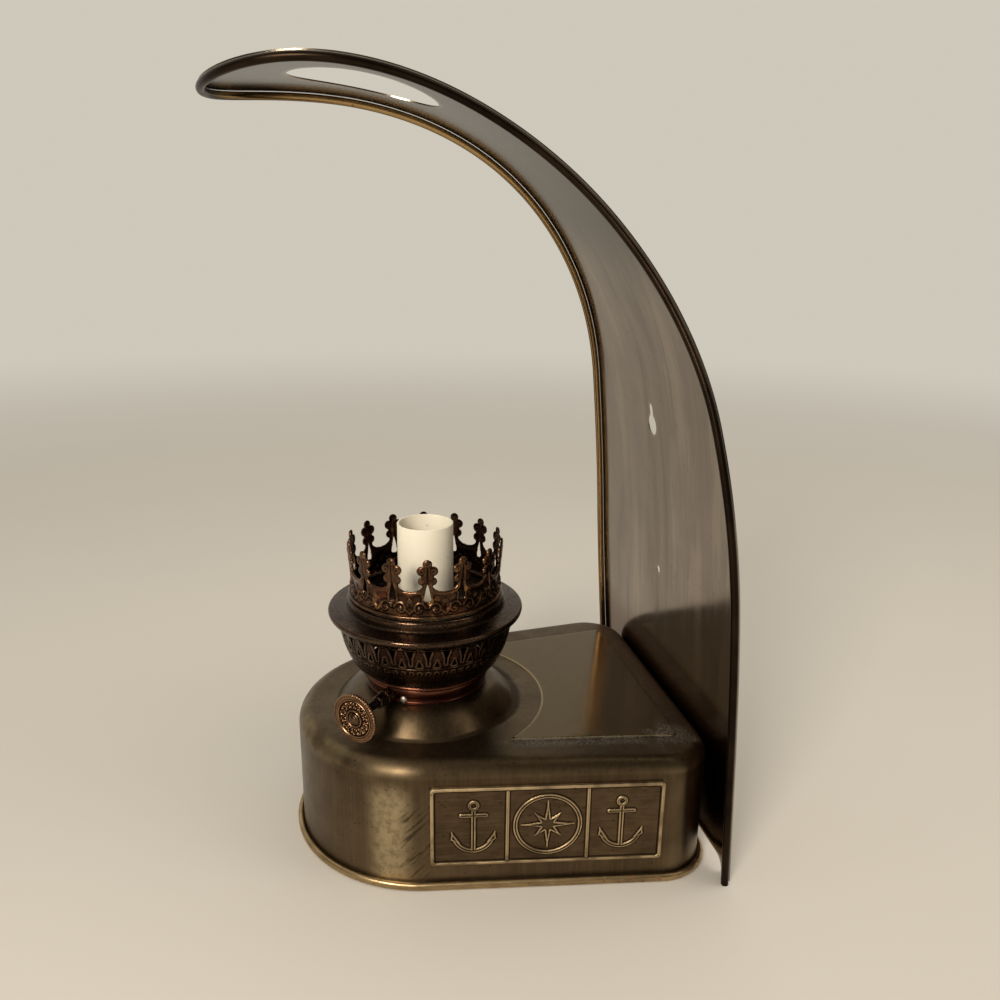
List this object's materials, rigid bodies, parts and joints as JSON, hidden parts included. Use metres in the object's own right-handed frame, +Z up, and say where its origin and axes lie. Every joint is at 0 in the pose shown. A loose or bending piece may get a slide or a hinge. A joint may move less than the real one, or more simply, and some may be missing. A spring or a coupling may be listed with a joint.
{
  "type": "ship lamp",
  "caption": "Table or wall ship lamp in antique brass: a D-shaped tank, a burner with a pierced crown and a candle tube, and a tall reflector plate that bends over the light.",
  "frame": {"origin": "on the plane the tank stands on, on the axis of the burner", "axes": "+Z up along the burner's axis, -Y towards the tank's round front, +Y towards the reflector plate, +X towards the side that carries the near plaque"},
  "size_m": [0.1762, 0.2129, 0.3371],
  "materials": {
    "patina_brass": "brushed, smoky antique patina",
    "seam_brass": "satin, worn bright",
    "plaque_brass": "dark patina with worn bright edges",
    "reflector_brass": "polished, tarnished to a grey mirror",
    "bead_copper": "satin, dark copper-brown",
    "plated_steel": "zinc plated",
    "black_rubber": "matte",
    "cream_plastic": "matte",
    "lead_plastic": "matte",
    "burner_copper": "gloss, red-brown oxidised copper",
    "dark_bronze": "semi-gloss, dark brown bronze",
    "dark_ceramic": "semi-gloss",
    "knob_copper": "satin, light copper with dark recesses",
    "crown_copper": "gloss, mottled dark copper",
    "cream_card": "matte"
  },
  "bodies": {
    "base": {"tank_shell": "patina_brass", "tank_bottom": "seam_brass", "tank_socket_ring": "patina_brass", "plaque_near": "plaque_brass", "plaque_far": "plaque_brass", "reflector": "reflector_brass", "rim_bead": "bead_copper", "plate_screw_near": "plated_steel", "plate_screw_far": "plated_steel", "plate_nut_near": "plated_steel", "plate_nut_far": "plated_steel", "plate_spacer_near": "seam_brass", "plate_spacer_far": "seam_brass", "cable_bush": "black_rubber", "terminal_block": "cream_plastic", "terminal_screw_left": "plated_steel", "terminal_screw_right": "plated_steel", "earth_screw": "plated_steel", "inner_lead": "lead_plastic"},
    "burner": {"burner_neck": "burner_copper", "basket_ring": "burner_copper", "basket": "dark_bronze", "flange": "dark_bronze", "burner_deck": "dark_bronze", "draught_tube": "dark_bronze", "bridge_disc": "plated_steel", "nipple": "plated_steel", "nipple_nut_low": "plated_steel", "nipple_nut_top": "plated_steel", "lampholder": "dark_ceramic", "socket_shell": "seam_brass", "socket_contact": "seam_brass", "neck_rivet": "plated_steel", "shaft_bush": "dark_bronze"},
    "winder": {"winder_shaft": "dark_bronze", "winder_knob": "knob_copper", "knob_rivet": "dark_bronze", "star_wheels": "dark_bronze"},
    "crown": {"crown": "crown_copper"},
    "sleeve": {"candle_sleeve": "cream_card"}
  },
  "joints": [
    {"name": "burner_turn", "type": "hinge", "parent": "base", "child": "burner", "pos_m": [0, 0, 0.071], "axis": [0, 0, 1], "range_deg": [0, 360]},
    {"name": "winder_turn", "type": "hinge", "parent": "burner", "child": "winder", "pos_m": [0, 0, 0.0755], "axis": [0.7466, -0.6652, 0], "continuous": true},
    {"name": "crown_lift", "type": "slide", "parent": "burner", "child": "crown", "axis": [0, 0, 1], "range_m": [0, 0.04]},
    {"name": "sleeve_lift", "type": "slide", "parent": "burner", "child": "sleeve", "axis": [0, 0, 1], "range_m": [0, 0.06]}
  ]
}
